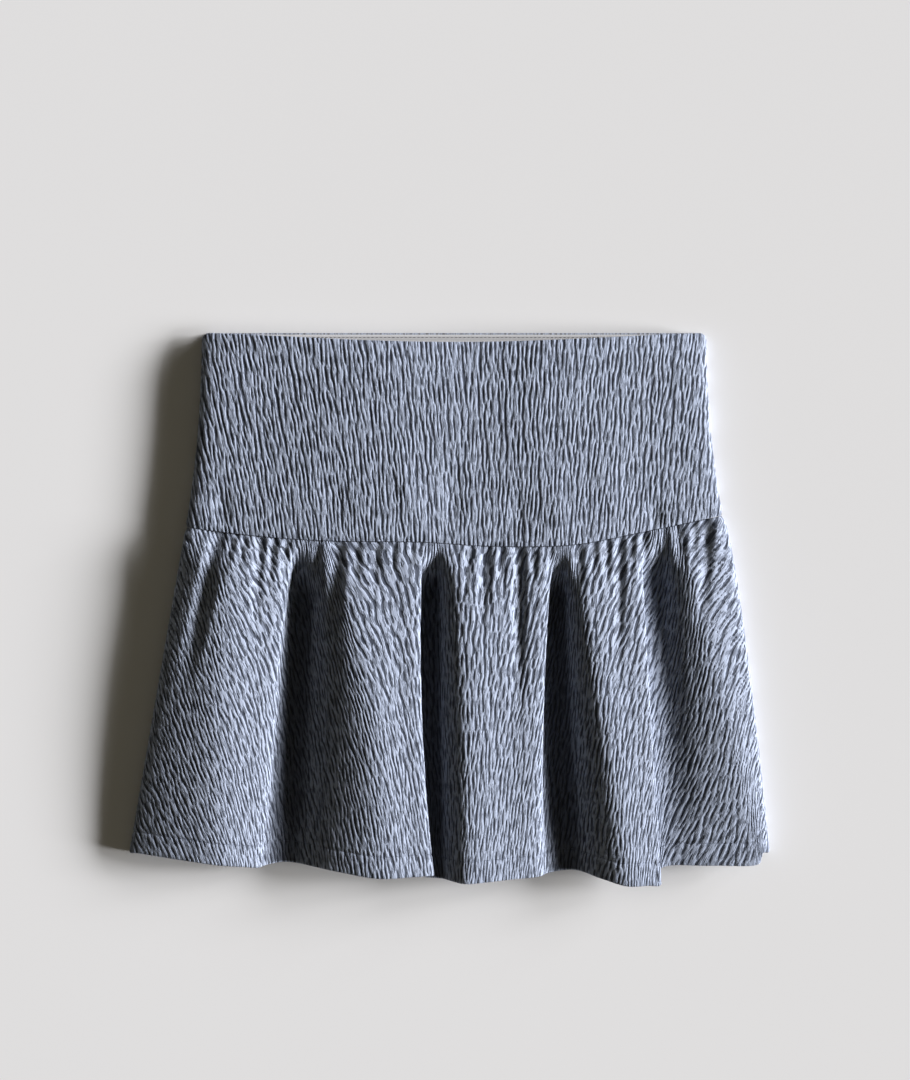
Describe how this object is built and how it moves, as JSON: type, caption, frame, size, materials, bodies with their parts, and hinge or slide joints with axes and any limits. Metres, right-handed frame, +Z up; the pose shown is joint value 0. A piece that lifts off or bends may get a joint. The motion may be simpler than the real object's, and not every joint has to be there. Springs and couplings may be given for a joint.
{
  "type": "jersey skirt",
  "caption": "Pull-on skirt of crinkled jersey laid flat: smooth shaped yoke, gathered flared flounce, elastic inside the waist, stitched hem.",
  "frame": {"origin": "middle of the skirt's outline, on the surface that it lies on", "axes": "+X across the skirt to the right as seen from above, +Y up the skirt from the hem to the waist, +Z up, away from the surface"},
  "size_m": [0.3828, 0.3283, 0.02],
  "materials": {
    "jersey": "crinkled dusty blue knit, matt",
    "elastic": "pale covered elastic, matt"
  },
  "bodies": {
    "root": {"yoke_front": "jersey", "yoke_back": "jersey", "flounce_front": "jersey", "flounce_back": "jersey", "waist_elastic": "elastic"}
  },
  "joints": []
}
